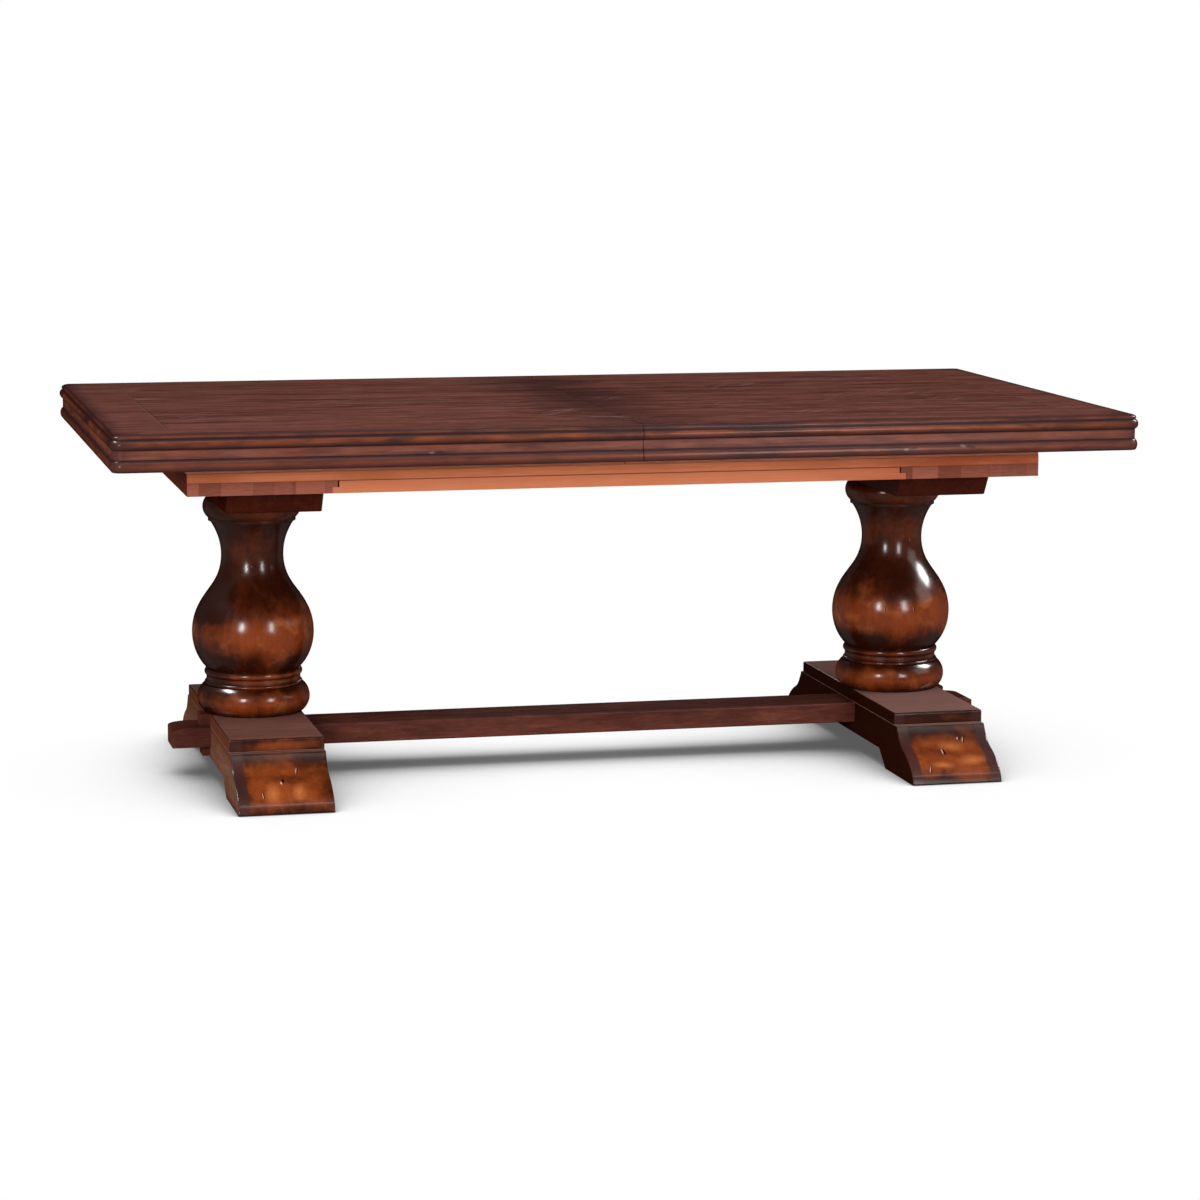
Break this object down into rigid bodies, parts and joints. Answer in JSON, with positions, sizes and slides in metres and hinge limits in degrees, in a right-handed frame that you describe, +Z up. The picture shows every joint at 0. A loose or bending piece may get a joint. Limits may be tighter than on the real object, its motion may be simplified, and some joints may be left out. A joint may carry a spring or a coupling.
{
  "type": "double pedestal extension dining table",
  "caption": "Rectangular dining table whose moulded two-part top slides open on a wooden frame, carried by turned baluster pedestals on ogee feet tied by a keyed stretcher.",
  "frame": {"origin": "on the floor under the centre of the closed table", "axes": "+X along the table towards its right end, +Y towards its back, +Z up"},
  "size_m": [2.068, 1.105, 0.762],
  "materials": {
    "field_wood": "satin lacquer over dark stain",
    "breadboard_wood": "satin lacquer over dark stain",
    "edge_wood": "satin lacquer over dark stain",
    "apron_wood": "satin lacquer over dark stain",
    "turned_wood": "satin lacquer over dark stain",
    "foot_wood": "satin lacquer over dark stain",
    "bolster_wood": "satin lacquer over dark stain",
    "stretcher_wood": "satin lacquer over dark stain",
    "plank_wood": "thin stain, unpolished",
    "rail_wood": "thin stain, unpolished",
    "slide_wood": "thin stain, unpolished",
    "pin_beech": "thin stain, unpolished",
    "fastener_steel": "zinc plated",
    "lock_brass": "plated, satin"
  },
  "bodies": {
    "base": {"stretcher": "stretcher_wood", "left_foot": "foot_wood", "left_column": "turned_wood", "left_bolster": "bolster_wood", "left_wedge": "stretcher_wood", "left_cross_plank": "plank_wood", "left_end_rail": "rail_wood", "right_foot": "foot_wood", "right_column": "turned_wood", "right_bolster": "bolster_wood", "right_wedge": "stretcher_wood", "right_cross_plank": "plank_wood", "right_end_rail": "rail_wood", "front_side_rail": "rail_wood", "front_mid_rail": "rail_wood", "back_side_rail": "rail_wood", "back_mid_rail": "rail_wood", "foot_bolts": "fastener_steel", "bolster_bolts": "fastener_steel", "plank_screws": "fastener_steel", "rail_screws": "fastener_steel"},
    "left_top": {"left_panel": "field_wood", "left_breadboard": "breadboard_wood", "left_end_apron": "apron_wood", "left_inner_batten": "slide_wood", "left_outer_batten": "slide_wood", "left_front_edge": "edge_wood", "left_front_apron": "apron_wood", "left_front_bearer": "slide_wood", "left_front_runner": "slide_wood", "left_back_edge": "edge_wood", "left_back_apron": "apron_wood", "left_back_bearer": "slide_wood", "left_back_runner": "slide_wood", "left_runner_screws": "fastener_steel", "left_batten_screws": "fastener_steel", "lock_plates": "lock_brass"},
    "right_top": {"right_panel": "field_wood", "right_breadboard": "breadboard_wood", "right_end_apron": "apron_wood", "right_inner_batten": "slide_wood", "right_outer_batten": "slide_wood", "right_front_edge": "edge_wood", "right_front_apron": "apron_wood", "right_front_bearer": "slide_wood", "right_front_runner": "slide_wood", "right_back_edge": "edge_wood", "right_back_apron": "apron_wood", "right_back_bearer": "slide_wood", "right_back_runner": "slide_wood", "right_runner_screws": "fastener_steel", "right_batten_screws": "fastener_steel", "lock_keepers": "lock_brass", "alignment_pins": "pin_beech"},
    "front_lever": {"front_lock_lever": "lock_brass"},
    "back_lever": {"back_lock_lever": "lock_brass"}
  },
  "joints": [
    {"name": "left_slide", "type": "slide", "parent": "base", "child": "left_top", "axis": [-1, 0, 0], "range_m": [0, 0.229]},
    {"name": "right_slide", "type": "slide", "parent": "base", "child": "right_top", "axis": [1, 0, 0], "range_m": [0, 0.229]},
    {"name": "front_lock_turn", "type": "hinge", "parent": "left_top", "child": "front_lever", "pos_m": [-0.025, -0.2, 0.7306], "axis": [0, 0, 1], "range_deg": [0, 90]},
    {"name": "back_lock_turn", "type": "hinge", "parent": "left_top", "child": "back_lever", "pos_m": [-0.025, 0.2, 0.7306], "axis": [0, 0, 1], "range_deg": [-90, 0]}
  ]
}
